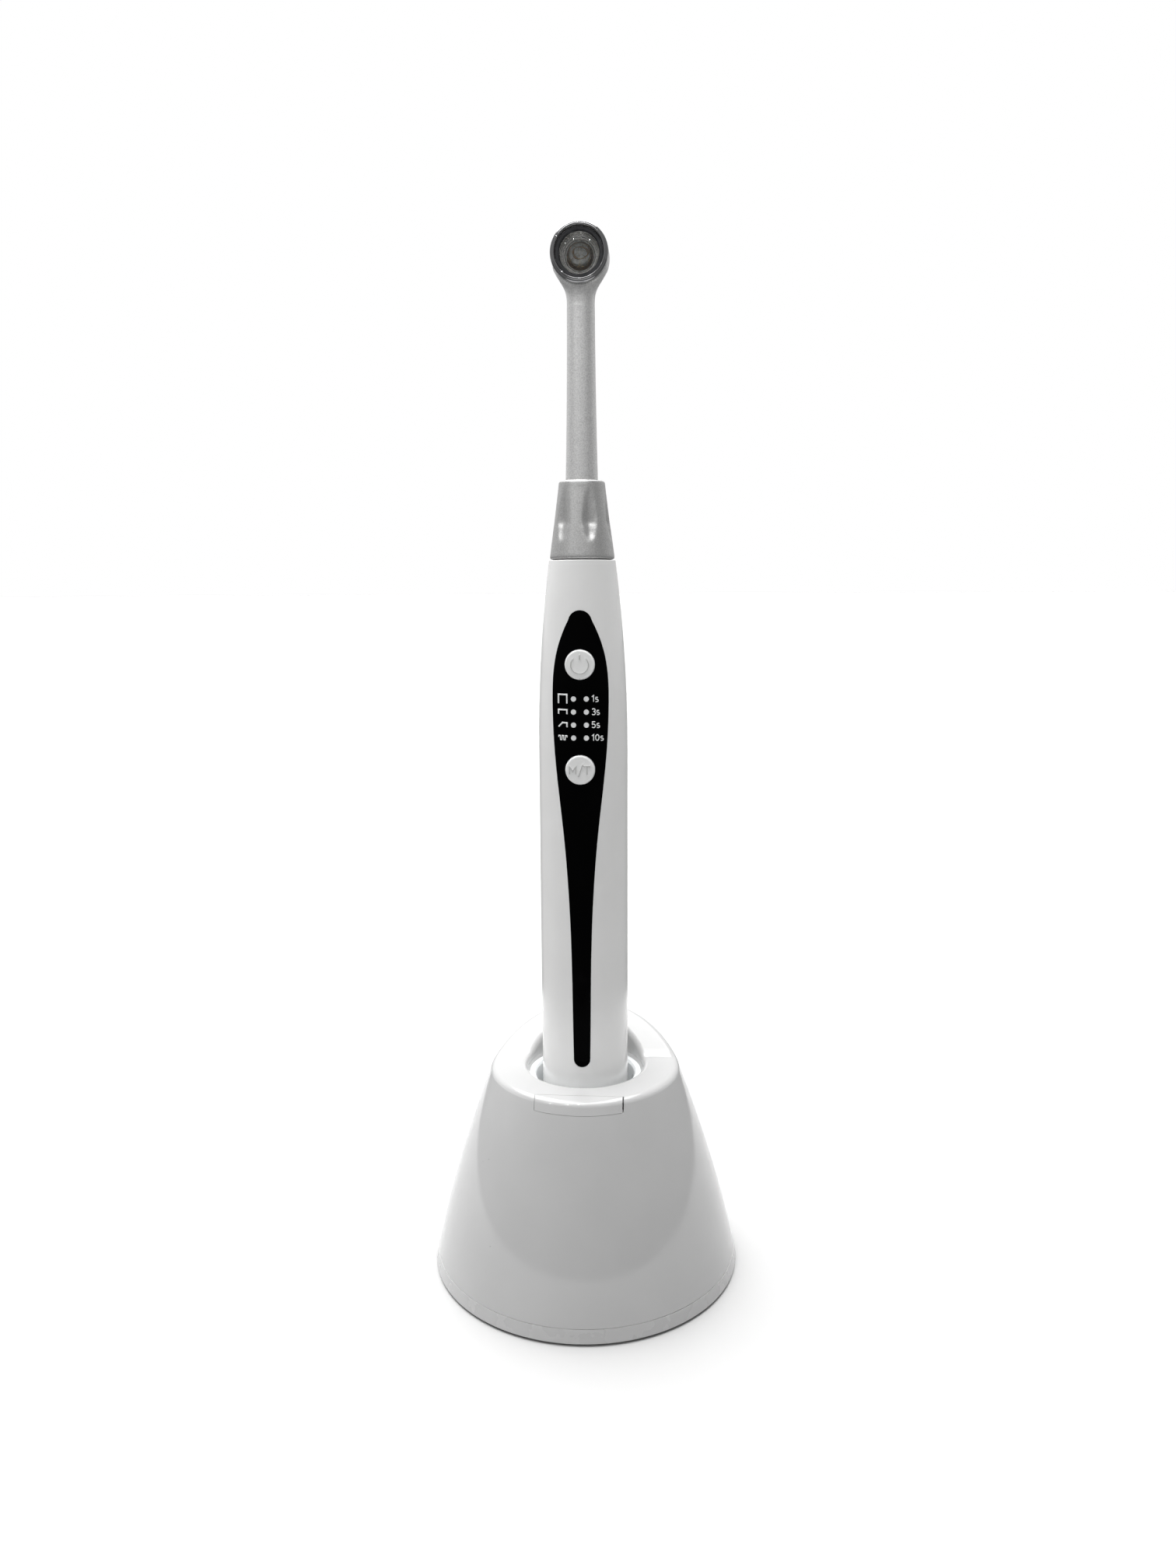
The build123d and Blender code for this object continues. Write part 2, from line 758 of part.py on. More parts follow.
def head_collar():
    """Fluted cone that the fingers turn, with the spigot that runs in the bush."""
    bottom = handle_top + swivel_gap
    outline = Polyline(
        (0, bottom),
        (handle_radius_top - collar_step, bottom),
        (collar_radius_top, collar_top),
        (0, collar_top),
        close=True,
    )
    collar = revolved(outline)
    collar = fillet(collar.edges().group_by(Axis.Z)[-1], 0.6)
    for x, y in ring_places(flute_count, flute_centre, first_angle=-90 + flute_phase):
        collar -= Pos(x, y, flute_nose_z) * flute_cutter()
    low_edge = collar.edges().group_by(Axis.Z)[0]
    collar = fillet(low_edge, 0.25)
    collar += disc(spigot_radius, spigot_bottom, bottom + 1)
    groove = tube(7, spigot_radius - 1.2, o_ring_z - 0.65, o_ring_z + 0.65)
    clip_groove = tube(7, spigot_radius - 0.7, 204.9, 205.7)
    collar = collar - groove - clip_groove
    collar -= disc(neck_bore_radius, spigot_bottom - 1, neck_socket_bottom + 1)
    return collar - disc(neck_socket_radius, neck_socket_bottom, collar_top + 1)


def swivel_o_ring():
    return Pos(0, 0, o_ring_z) * Torus(spigot_radius - o_ring_section, o_ring_section - 0.02)


def retaining_clip():
    """Open circlip under the bush."""
    clip = tube(spigot_radius + 1.0, spigot_radius - 0.7, 204.95, 205.65)
    return clip - block((-1.5, 1.5), (0, 10), (200, 210))


def head_plug():
    """Jack plug below the spigot: sleeve, then a stepped tip."""
    plug = disc(2.2, 202.8, spigot_bottom + 3) + disc(plug_radius, plug_bottom, 203)
    tip = plug.edges().group_by(Axis.Z)[0]
    plug = chamfer(tip, 0.7)
    return plug - tube(3, plug_radius - 0.35, 195.4, 196.2) - tube(3, plug_radius - 0.35, 199.2, 200)


def neck_flare():
    """Round swelling that widens the neck into the head, flattened front and back."""
    low = (neck_radius_top, neck_top)
    high = (flare_radius, head_z)
    side = Spline(low, *flare_side, high, tangents=[(0, 1), (0, 1)])
    close = Polyline(high, (0, head_z), (0, neck_top), low)
    slab = block((-20, 20), (-flare_depth, flare_depth), (neck_top, head_z))
    return revolved(side + close) & slab


def head_plane(along=0.0):
    """Plane square to the lens axis, at a distance in front of the neck's middle."""
    return Plane(origin=(0, -along, head_z), x_dir=(1, 0, 0), z_dir=(0, -1, 0))


def head_disc(radius, back, front):
    """Cylinder on the lens axis."""
    return extrude(head_plane(back) * Circle(radius), front - back)


def head_revolve(points):
    """Solid of revolution about the lens axis from (radius, distance) points."""
    upright = revolve(Plane.XZ * make_face(Polyline(*points, close=True)), axis=Axis.Z)
    return head_plane() * upright


def neck_housing():
    """Neck tube and round head in one piece."""
    lower = disc(neck_socket_radius, neck_socket_bottom, collar_top + 1)
    foot = (neck_radius_low, collar_top)
    waist = (neck_radius_mid, neck_mid_z)
    top = (neck_radius_top, neck_top)
    neck = revolved(ThreePointArc(foot, waist, top) + Polyline(top, (0, neck_top), (0, collar_top), foot))
    drum = head_disc(head_radius, head_back, head_front)
    rear_edge = drum.edges().sort_by(Axis.Y)[-1]
    drum = fillet(rear_edge, 2.6)
    front_edge = drum.edges().sort_by(Axis.Y)[0]
    drum = fillet(front_edge, 0.3)
    body = lower + neck + neck_flare() + drum
    body += head_disc(head_nose_radius, head_front - 0.5, head_nose_front)
    body -= head_disc(cavity_radius, led_board_back, head_nose_front + 1)
    bore_top = head_z - 2
    body -= disc(neck_bore_radius, neck_socket_bottom - 1, bore_top)
    return body


# ---- light head: optics ----------------------------------------------------------------------
def lens_bezel():
    """Polished ring that screws over the housing's nose."""
    skirt_back = head_front + 0.1
    outer = head_radius - 0.05
    bezel = head_revolve([
        (head_nose_radius + 0.02, skirt_back),
        (outer, skirt_back),
        (outer, bezel_front - 0.9),
        (outer - 0.6, bezel_front),
        (bezel_lip_radius + 0.15, bezel_front),
        (bezel_lip_radius, bezel_front - 0.25),
        (bezel_lip_radius, head_nose_front + 0.45),
        (head_nose_radius + 0.02, head_nose_front + 0.45),
    ])
    return bezel


def lens_seal():
    """Black ring between lens and bezel."""
    return head_revolve([
        (5.45, lens_front + 0.02),
        (cavity_radius - 0.02, lens_front + 0.02),
        (cavity_radius - 0.02, head_nose_front + 0.4),
        (5.75, head_nose_front + 0.4),
    ])


def lens():
    """Flat glass window."""
    return head_disc(cavity_radius - 0.05, lens_back, lens_front)


def collimator():
    """Plano-convex lens over the emitter."""
    base = 1.0
    radius = 4.0
    crown = 1.9
    sphere_radius = (radius ** 2 + crown ** 2) / (2 * crown)
    arc = ThreePointArc(
        (radius, base + 0.5),
        (sphere_radius * sin(radians(26)), base + 0.5 + crown - sphere_radius * (1 - cos(radians(26)))),
        (0, base + 0.5 + crown),
    )
    close = Polyline((0, base + 0.5 + crown), (0, base), (radius, base), (radius, base + 0.5))
    return head_plane() * revolve(Plane.XZ * make_face(arc + close), axis=Axis.Z)


def reflector():
    """Polished cone from the emitter out to the window."""
    back = led_board_back + led_board_thickness
    return head_revolve([
        (3.1, back),
        (cavity_radius - 0.1, back),
        (cavity_radius - 0.1, lens_back - 0.05),
        (5.9, lens_back - 0.05),
        (4.05, 1.9),
        (4.05, 0.98),
        (3.1, 0.98),
    ])


def led_board():
    """Metal-backed disc at the bottom of the head."""
    board = head_disc(cavity_radius - 0.05, led_board_back, led_board_back + led_board_thickness)
    return board


def led_emitter():
    """Ceramic package with four dies."""
    back = led_board_back + led_board_thickness
    square = head_plane(back) * Rectangle(3.5, 3.5)
    package = extrude(square, 0.8)
    dies = []
    for x in (-0.6, 0.6):
        for y in (-0.6, 0.6):
            die = extrude(head_plane(back + 0.8) * Pos(x, y) * Rectangle(1.0, 1.0), 0.2)
            dies.append(die)
    for die in dies:
        package += die
    return package


def led_wires():
    """Pair of leads up the neck, ending below the emitter's board."""
    return group([disc(0.6, spigot_bottom + 3.2, 291.8, x) for x in (-0.9, 0.9)])


# ---- writing the parts -------------------------------------------------------------------------
def all_parts():
    whole_shell = shell_body()
    return {
        "base_shell": base_shell(whole_shell),
        "front_snap_tab": front_snap_tab(whole_shell),
        "well_cup": well_cup(),
        "base_plate": base_plate(),
        "rubber_feet": rubber_feet(),
        "base_screws": base_screws(),
        "cup_screws": cup_screws(),
        "ballast_ring": ballast_ring(),
        "charge_board": charge_board(),
        "board_screws": board_screws(),
        "contact_barrels": contact_barrels(),
        "centre_charge_pin": charge_pin(0),
        "outer_charge_pin": charge_pin(pin_offset_y),
        "centre_pin_spring": pin_spring(0),
        "outer_pin_spring": pin_spring(pin_offset_y),
        "power_inlet": power_inlet(),
        "inlet_pin": inlet_pin(),
        "inlet_wires": inlet_wires(),
        "handle_shell": handle_shell(),
        "panel_overlay": panel_overlay(),
        "indicator_windows": indicator_windows(),
        "power_button": power_button(),
        "mode_button": mode_button(),
        "power_plunger": switch_plunger(button_z["power"]),
        "mode_plunger": switch_plunger(button_z["mode"]),
        "main_board": main_board(),
        "switch_bodies": switch_bodies(),
        "indicator_leds": indicator_leds(),
        "control_chip": control_chip(),
        "buzzer": buzzer(),
        "board_carrier": board_carrier(),
        "battery_cell": battery_cell(),
        "cell_top_contact": cell_top_contact(),
        "cell_spring": cell_spring(),
        "end_cap": end_cap(),
        "contact_centre": contact_centre(),
        "contact_ring": contact_ring(),
        "contact_board": contact_board(),
        "cap_seal": cap_seal(),
        "swivel_bush": swivel_bush(),
        "head_socket": head_socket(),
        "socket_contacts": socket_contacts(),
        "head_collar": head_collar(),
        "swivel_o_ring": swivel_o_ring(),
        "retaining_clip": retaining_clip(),
        "head_plug": head_plug(),
        "neck_housing": neck_housing(),
        "lens_bezel": lens_bezel(),
        "lens_seal": lens_seal(),
        "lens": lens(),
        "collimator": collimator(),
        "reflector": reflector(),
        "led_board": led_board(),
        "led_emitter": led_emitter(),
        "led_wires": led_wires(),
    }


def main():
    os.makedirs("parts", exist_ok=True)
    for node, shape in all_parts().items():
        export_step(shape, f"parts/{node}.step")


main()
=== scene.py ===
"""Looks of a cordless dental curing light in its charging base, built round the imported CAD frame.

The row frame is in metres: +Z up, origin under the base, the front towards -Y.
Outlines of turned and printed pieces are in millimetres, and are scaled by MM as they are built.
"""

import json
from math import cos, pi, radians, sin

import bmesh
import bpy
from mathutils import Matrix, Vector
from mathutils.bvhtree import BVHTree


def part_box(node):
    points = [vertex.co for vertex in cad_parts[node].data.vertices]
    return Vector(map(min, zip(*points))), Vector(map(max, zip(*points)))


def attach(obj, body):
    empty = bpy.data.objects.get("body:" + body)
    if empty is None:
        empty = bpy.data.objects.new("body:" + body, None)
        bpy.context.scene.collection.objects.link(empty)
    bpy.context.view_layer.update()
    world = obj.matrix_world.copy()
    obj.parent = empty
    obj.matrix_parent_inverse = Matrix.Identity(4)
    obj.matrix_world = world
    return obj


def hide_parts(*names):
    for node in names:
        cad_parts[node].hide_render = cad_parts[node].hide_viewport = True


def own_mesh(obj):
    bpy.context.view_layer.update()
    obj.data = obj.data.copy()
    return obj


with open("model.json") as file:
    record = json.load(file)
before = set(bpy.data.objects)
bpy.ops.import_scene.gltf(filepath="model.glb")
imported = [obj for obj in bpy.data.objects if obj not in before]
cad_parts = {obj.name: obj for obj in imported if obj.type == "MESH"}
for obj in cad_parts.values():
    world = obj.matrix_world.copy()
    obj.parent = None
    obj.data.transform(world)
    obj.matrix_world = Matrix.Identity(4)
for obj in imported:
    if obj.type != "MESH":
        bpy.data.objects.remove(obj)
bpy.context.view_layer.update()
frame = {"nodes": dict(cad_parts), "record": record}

MM = 0.001

# ---- places read from the frame --------------------------------------------------------------
WINDOWS_LOW, WINDOWS_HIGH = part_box("indicator_windows")
BEZEL_LOW, BEZEL_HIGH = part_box("lens_bezel")
COLLAR_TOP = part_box("head_collar")[1].z

ROWS = 4                          # of indicator windows, two to a row
WINDOW_RADIUS = 0.74 * MM
TOP_ROW_Z = WINDOWS_HIGH.z - WINDOW_RADIUS
ROW_PITCH = (TOP_ROW_Z - WINDOWS_LOW.z - WINDOW_RADIUS) / (ROWS - 1)

HEAD_Z = (BEZEL_LOW.z + BEZEL_HIGH.z) / 2
HEAD_FRONT = -BEZEL_LOW.y         # distances in front of the neck's axis
BEZEL_BACK = -BEZEL_HIGH.y
BEZEL_RADIUS = (BEZEL_HIGH.x - BEZEL_LOW.x) / 2

# ---- castings and coils ------------------------------------------------------------------------
CAST_VOXEL = 0.25 * MM
WHOLE_NECK = (0.0, 1.0, 6)        # low, high, smoothing passes
NECK_INTO_HEAD = (HEAD_Z - 13 * MM, HEAD_Z - 3.5 * MM, 24)
COLLAR_FLUTES = (COLLAR_TOP - 22.5 * MM, COLLAR_TOP - 1.5 * MM, 30)
TAB_BEVEL = 0.45 * MM

# ---- print and painted shade, in mm ------------------------------------------------------------
# Lift, sink and step serve both the print and the painted shade on the button symbols.
PRINT_AND_SHADE_LIFT = 0.03
PRINT_AND_SHADE_SINK = 0.02
PRINT_AND_SHADE_STEP = 0.25                 # between stations, so that the print follows the curve
LABEL_X = 3.3
LABEL_HEIGHT = 1.84
LABEL_STROKE = 0.27
LABEL_RAISE = 0.1                 # the figures stand a little above the middle of their row
ICON_LEFT = -6.2
ICON_RIGHT = -3.72
ICON_STROKE = 0.42
PULSE_STROKE = 0.7                # share of the other icons' stroke
# Width of the painted shade along the raised button symbols, in mm.
SYMBOL_SHADE_STROKE = 0.30

# ---- light head, in mm -------------------------------------------------------------------------
LATHE_STEPS = 120
LENS_STATIONS = (1, 0.97, 0.93, 0.87, 0.8, 0.7, 0.6, 0.5, 0.37, 0.25, 0.12)
CUP_STEPS = 4                     # ledges left by the tool inside the reflector
EMITTER_FACE = 1.3                # in front of the neck's axis
CHIP_CENTRE = (0.1, 0.75)
DIE_SPACING = (0.52, 0.48)
DIE_SIZE = (0.92, 0.22, 0.84)
WIRE_TURNS = (20, 75, 118, 200, 262, 318)
WIRE_RADIUS = 0.045

# ---- camera --------------------------------------------------------------------------------------
CAMERA_AZIMUTH = 4.0              # degrees towards +X, so the panel sits a little left
CAMERA_DISTANCE = 326.6 * MM      # from the axis of the base
CAMERA_HEIGHT = 209.2 * MM
CAMERA_PITCH = 10.0               # degrees down
CAMERA_ROLL = 0.3                 # degrees, the wand leans a hair to the left
CAMERA_SIDE = 1.3 * MM
LENS_MM = 25.54                   # on a 36 mm sensor

# ---- studio --------------------------------------------------------------------------------------
FLOOR_RADIUS = 40.0
FLOOR_STEPS = 96
FLOOR_SHOWN = 0.48
FLOOR_BOUNCE = 0.27
SHEET_MIRRORED = 0.56             # glossy parts mirror a white sheet this bright
SHEET_OUTSIDE = 0.10
SHEET_RADIUS = 0.235
ROOM_DIM = 0.25                   # the room is brightest towards the window at the front left
ROOM_BRIGHT = 0.45
WINDOW_SIDE = (-0.78, -0.52, 0.35)
ROOM_BEHIND = 0.34                # added towards the back
KEY_DIRECTION = (-0.14, 0.20, 1.0)
KEY_SPREAD = 66                   # degrees
KEY_STRENGTH = 5.65
LAMPS = ((2, 52), (26, 44), (-24, 47), (-44, 36), (-10, 60))    # azimuth to the right, elevation
LAMP_DISTANCE = 1.2
LAMP_SIZE = 0.035
LAMP_POWER = 0.32
GLINT_POWER = 1.0                 # seen only in glossy parts


# ---- materials -----------------------------------------------------------------------------------
def map_range(tree, source, low, high, to_low, to_high):
    """Value that goes from to_low to to_high as source goes from low to high."""
    node = tree.nodes.new("ShaderNodeMapRange")
    for socket, value in zip(("From Min", "From Max", "To Min", "To Max"), (low, high, to_low, to_high)):
        node.inputs[socket].default_value = value
    tree.links.new(source, node.inputs["Value"])
    return node.outputs["Result"]


class Shader:
    """One material under construction, with short calls for the nodes it uses."""

    def __init__(self, name, color, roughness, metallic=0.0, **sockets):
        self.material = bpy.data.materials.new(name)
        self.material.use_nodes = True
        self.nodes = self.material.node_tree.nodes
        self.links = self.material.node_tree.links
        self.bsdf = self.nodes["Principled BSDF"]
        self.color = color
        self.roughness = roughness
        self.bsdf.inputs["Base Color"].default_value = (*color, 1)
        self.bsdf.inputs["Roughness"].default_value = roughness
        self.bsdf.inputs["Metallic"].default_value = metallic
        for socket, value in sockets.items():
            self.bsdf.inputs[socket.replace("_", " ")].default_value = value
        self.place = self.nodes.new("ShaderNodeTexCoord").outputs["Object"]
        self.height = None
        self.paint = None

    def stretched(self, scale):
        """Object coordinates scaled apart along X, Y and Z."""
        mapping = self.nodes.new("ShaderNodeMapping")
        mapping.inputs["Scale"].default_value = scale
        self.links.new(self.place, mapping.inputs["Vector"])
        return mapping.outputs["Vector"]

    def noise(self, size, detail=2.0, stretch=None):
        """Noise whose grain is about size metres."""
        node = self.nodes.new("ShaderNodeTexNoise")
        node.inputs["Scale"].default_value = 1.0 / size
        node.inputs["Detail"].default_value = detail
        self.links.new(self.stretched(stretch) if stretch else self.place, node.inputs["Vector"])
        return node.outputs["Fac"]

    def cells(self, size):
        """Distance from points strewn about size metres apart."""
        node = self.nodes.new("ShaderNodeTexVoronoi")
        node.inputs["Scale"].default_value = 1.0 / size
        self.links.new(self.place, node.inputs["Vector"])
        return node.outputs["Distance"]

    def mapped(self, source, low, high, to_low, to_high):
        return map_range(self.material.node_tree, source, low, high, to_low, to_high)

    def tint(self, source, low, high, other):
        """Colour that goes from what it was to another as source goes from low to high."""
        mix = self.nodes.new("ShaderNodeMix")
        mix.data_type = "RGBA"
        mix.inputs["A"].default_value = (*self.color, 1)
        mix.inputs["B"].default_value = (*other, 1)
        if self.paint:
            self.links.new(self.paint, mix.inputs["A"])
        self.links.new(self.mapped(source, low, high, 0.0, 1.0), mix.inputs["Factor"])
        self.paint = mix.outputs["Result"]
        self.links.new(self.paint, self.bsdf.inputs["Base Color"])

    def vary_roughness(self, source, spread):
        low = max(self.roughness - spread, 0.02)
        result = self.mapped(source, 0.3, 0.7, low, self.roughness + spread)
        self.links.new(result, self.bsdf.inputs["Roughness"])

    def bump(self, source, depth, strength=1.0):
        """Bump of a depth in metres; further calls add to it."""
        node = self.nodes.new("ShaderNodeBump")
        node.inputs["Strength"].default_value = strength
        node.inputs["Distance"].default_value = depth
        self.links.new(source, node.inputs["Height"])
        if self.height:
            self.links.new(self.height, node.inputs["Normal"])
        self.height = node.outputs["Normal"]
        self.links.new(self.height, self.bsdf.inputs["Normal"])


def darker(color, share):
    return tuple(c * share for c in color)


def moulded(name, color, roughness):
    """Moulded plastic: faint flow marks, a very fine texture and rare dust specks."""
    shader = Shader(name, color, roughness)
    shader.tint(shader.noise(25 * MM, 3.0), 0.35, 0.75, darker(color, 0.95))
    shader.tint(shader.cells(9 * MM), 0.020, 0.008, darker(color, 0.35))
    shader.vary_roughness(shader.noise(9 * MM, 4.0), 0.05)
    shader.bump(shader.noise(0.5 * MM, 3.0), 0.004 * MM)
    shader.bump(shader.noise(14 * MM, 1.0), 0.02 * MM, 0.6)
    return shader.material


def blasted(name, color, roughness, grain):
    """Bead-blasted metal with a fine sparkle."""
    shader = Shader(name, color, roughness, metallic=1.0)
    shader.tint(shader.noise(grain, 4.0), 0.35, 0.7, darker(color, 0.74))
    shader.vary_roughness(shader.noise(grain * 0.7, 2.0), 0.08)
    shader.bump(shader.noise(grain, 3.0), 0.014 * MM)
    return shader.material


def polished(name, color, roughness):
    """Plated metal with hairline marks from polishing."""
    shader = Shader(name, color, roughness, metallic=1.0)
    shader.vary_roughness(shader.noise(1.2 * MM, 3.0, (1, 1, 12)), roughness * 0.5)
    shader.bump(shader.noise(0.6 * MM, 2.0, (1, 1, 20)), 0.0006 * MM)
    return shader.material


def rubber(name, color, roughness=0.75):
    """Rubber with a matt, slightly chalky skin."""
    shader = Shader(name, color, roughness)
    shader.tint(shader.noise(2 * MM, 4.0), 0.4, 0.7, darker(color, 1.7))
    shader.bump(shader.noise(0.25 * MM, 3.0), 0.02 * MM)
    return shader.material


def laminate(name, color):
    """Circuit board: woven glass showing faintly under the mask."""
    shader = Shader(name, color, 0.35)
    weave = shader.nodes.new("ShaderNodeTexWave")
    weave.inputs["Scale"].default_value = 900
    weave.inputs["Distortion"].default_value = 1.5
    shader.links.new(shader.place, weave.inputs["Vector"])
    shader.tint(weave.outputs["Fac"], 0.2, 0.9, darker(color, 0.8))
    shader.bump(weave.outputs["Fac"], 0.01 * MM)
    return shader.material


def ceramic(name, color):
    """Fired ceramic or set resin, mottled."""
    shader = Shader(name, color, 0.45)
    shader.tint(shader.noise(0.8 * MM, 3.0), 0.45, 0.75, darker(color, 0.55))
    shader.bump(shader.noise(0.2 * MM, 2.0), 0.01 * MM)
    return shader.material


def clear(name, color, roughness):
    """Cast clear plastic with a faint waviness."""
    shader = Shader(name, color, roughness, IOR=1.49, Transmission_Weight=1.0)
    shader.vary_roughness(shader.noise(4 * MM, 3.0), 0.01)
    shader.bump(shader.noise(6 * MM, 1.0), 0.002 * MM)
    return shader.material


def gloss_black(name, color):
    """Black film that hardly mirrors the room."""
    shader = Shader(name, color, 0.14, Specular_IOR_Level=0.012)
    shader.vary_roughness(shader.noise(5 * MM, 4.0), 0.05)
    shader.tint(shader.noise(12 * MM, 2.0), 0.3, 0.8, darker(color, 1.4))
    shader.bump(shader.noise(10 * MM, 1.0), 0.006 * MM)
    return shader.material


MATERIALS = {
    "base_plastic": moulded("base_plastic", (0.49, 0.49, 0.49), 0.07),
    "plate_plastic": moulded("plate_plastic", (0.54, 0.54, 0.54), 0.28),
    "cup_plastic": moulded("cup_plastic", (0.86, 0.88, 0.89), 0.30),
    "foot_rubber": rubber("foot_rubber", (0.03, 0.03, 0.032)),
    "seal_rubber": rubber("seal_rubber", (0.030, 0.031, 0.034), 0.35),
    "screw_steel": blasted("screw_steel", (0.55, 0.55, 0.56), 0.3, 0.4 * MM),
    "ballast_iron": blasted("ballast_iron", (0.22, 0.22, 0.23), 0.6, 0.9 * MM),
    "board_laminate": laminate("board_laminate", (0.02, 0.16, 0.07)),
    "chip_resin": moulded("chip_resin", (0.02, 0.02, 0.022), 0.5),
    "gold_contact": polished("gold_contact", (0.86, 0.64, 0.28), 0.18),
    "spring_steel": polished("spring_steel", (0.60, 0.60, 0.62), 0.22),
    "inlet_plastic": moulded("inlet_plastic", (0.02, 0.02, 0.022), 0.42),
    "wire_sleeve": moulded("wire_sleeve", (0.40, 0.03, 0.02), 0.4),
    "handle_plastic": moulded("handle_plastic", (0.84, 0.84, 0.835), 0.12),
    "panel_black": gloss_black("panel_black", (0.0010, 0.0010, 0.0011)),
    "window_clear": moulded("window_clear", (0.86, 0.87, 0.87), 0.3),
    "button_plastic": moulded("button_plastic", (0.89, 0.895, 0.89), 0.25),
    "cell_wrap": moulded("cell_wrap", (0.03, 0.12, 0.38), 0.25),
    "carrier_plastic": moulded("carrier_plastic", (0.05, 0.05, 0.055), 0.5),
    "bush_plastic": moulded("bush_plastic", (0.75, 0.75, 0.72), 0.45),
    "satin_aluminium": blasted("satin_aluminium", (0.65, 0.65, 0.645), 0.46, 0.34 * MM),
    "bezel_chrome": polished("bezel_chrome", (0.27, 0.27, 0.275), 0.07),
    "lens_glass": clear("lens_glass", (0.97, 0.98, 0.98), 0.0),
    "reflector_metal": polished("reflector_metal", (0.52, 0.505, 0.485), 0.30),
    "led_ceramic": ceramic("led_ceramic", (0.92, 0.92, 0.90)),
}
# Painted light: a lighter copy of the satin aluminium for the neck, so that it reads brighter-lit than
# the collar.
LIT_NECK_METAL = blasted("lit_neck_metal", (0.93, 0.93, 0.925), 0.46, 0.34 * MM)
# Painted shade: a darker grey laid along the buttons' raised symbols, standing in for the shading of
# their edges.
SYMBOL_SHADE_PLASTIC = moulded("symbol_shade_plastic", (0.56, 0.56, 0.555), 0.35)
PHOSPHOR = ceramic("phosphor", (0.34, 0.20, 0.08))

for part in frame["record"]["subparts"]:
    materials = frame["nodes"][part["node"]].data.materials
    materials.clear()
    materials.append(MATERIALS[part["material_slot"]])


# ---- building pieces -----------------------------------------------------------------------------
def add_piece(mesh, material, body, replaces=(), smooth=True):
    """Put a finished mesh in the scene as a piece of the mesh's name that rides on a body."""
    mesh.materials.clear()
    mesh.materials.append(material)
    if smooth:
        mesh.shade_smooth()
    piece = bpy.data.objects.new(mesh.name, mesh)
    bpy.context.scene.collection.objects.link(piece)
    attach(piece, body)
    if replaces:
        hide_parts(*replaces)
    return piece


def mesh_from(name, bm):
    """Mesh of a finished bmesh, welded and facing outwards."""
    bmesh.ops.remove_doubles(bm, verts=bm.verts, dist=0.0001 * MM)
    bmesh.ops.recalc_face_normals(bm, faces=bm.faces)
    mesh = bpy.data.meshes.new(name)
    bm.to_mesh(mesh)
    bm.free()
    return mesh


def join_rings(bm, here, there):
    """Band of faces between two closed rings with as many corners."""
    count = len(here)
    for j in range(count):
        k = (j + 1) % count
        bm.faces.new((here[j], here[k], there[k], there[j]))


def arc(cx, cy, rx, ry, start, end, count):
    """Points on an ellipse from one angle to another, in degrees."""
    angles = [radians(start + (end - start) * i / count) for i in range(count + 1)]
    return [(cx + rx * cos(a), cy + ry * sin(a)) for a in angles]


def rough_copy(node):
    """Loose copy of a node, for modifiers to work on."""
    rough = bpy.data.objects.new("rough", frame["nodes"][node].data.copy())
    bpy.context.scene.collection.objects.link(rough)
    return rough


def modified_mesh(rough, name):
    """What the modifiers make of a loose copy, which is then dropped."""
    graph = bpy.context.evaluated_depsgraph_get()
    mesh = bpy.data.meshes.new_from_object(rough.evaluated_get(graph))
    bpy.data.objects.remove(rough)
    mesh.name = name
    return mesh


def eased_copy(node, name, bevel, slot):
    """The frame's solid with its shading cleaned and, given a bevel, its sharp edges broken."""
    rough = rough_copy(node)
    mesh = rough.data
    bm = bmesh.new()
    bm.from_mesh(mesh)
    bmesh.ops.remove_doubles(bm, verts=bm.verts, dist=0.0005 * MM)
    bmesh.ops.dissolve_limit(bm, angle_limit=radians(0.6), verts=bm.verts, edges=bm.edges)
    bm.to_mesh(mesh)
    bm.free()
    mesh.shade_smooth()
    if bevel:
        edge = rough.modifiers.new("edge", "BEVEL")
        edge.width = bevel
        edge.segments = 3
        edge.limit_method = "ANGLE"
        edge.angle_limit = radians(35)
    else:
        mesh.set_sharp_from_angle(angle=radians(30))
    even = rough.modifiers.new("even", "WEIGHTED_NORMAL")
    even.keep_sharp = not bevel
    finished = modified_mesh(rough, name)
    add_piece(finished, MATERIALS[slot], "charging_base", [node], smooth=bool(bevel))


def flowing_copy(node, name, material, bands):
    """The frame's solid remeshed and eased as one casting; each band is (low, high, passes)."""
    rough = rough_copy(node)
    remesh = rough.modifiers.new("remesh", "REMESH")
    remesh.mode = "VOXEL"
    remesh.voxel_size = CAST_VOXEL
    mesh = modified_mesh(rough, name)
    every_way = {"use_axis_x": True, "use_axis_y": True, "use_axis_z": True}
    bm = bmesh.new()
    bm.from_mesh(mesh)
    for low, high, passes in bands:
        eased = [v for v in bm.verts if low < v.co.z < high]
        for _ in range(passes):
            bmesh.ops.smooth_vert(bm, verts=eased, factor=0.5, **every_way)
    bm.to_mesh(mesh)
    bm.free()
    add_piece(mesh, material, "light_head", [node])


def pin_spring(pin):
    """Copy of a charging pin's coil spring, as a piece with a mesh of its own."""
    node = f"{pin}_pin_spring"
    mesh = frame["nodes"][node].data.copy()
    mesh.name = f"{pin}_pin_coil"
    coil = add_piece(mesh, MATERIALS["spring_steel"], "charging_base", [node])
    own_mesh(coil)


# ---- print on the panel, and painted shade on the buttons' symbols -------------------------------
def face_of(node):
    """The node's surface, to lay print and painted shade on."""
    mesh = frame["nodes"][node].data
    return BVHTree.FromPolygons([v.co for v in mesh.vertices], [p.vertices for p in mesh.polygons])


def depth_at(face, x, z):
    """Y of a face at a place seen from the front."""
    return face.ray_cast(Vector((x, -0.05, z)), Vector((0, 1, 0)))[0].y


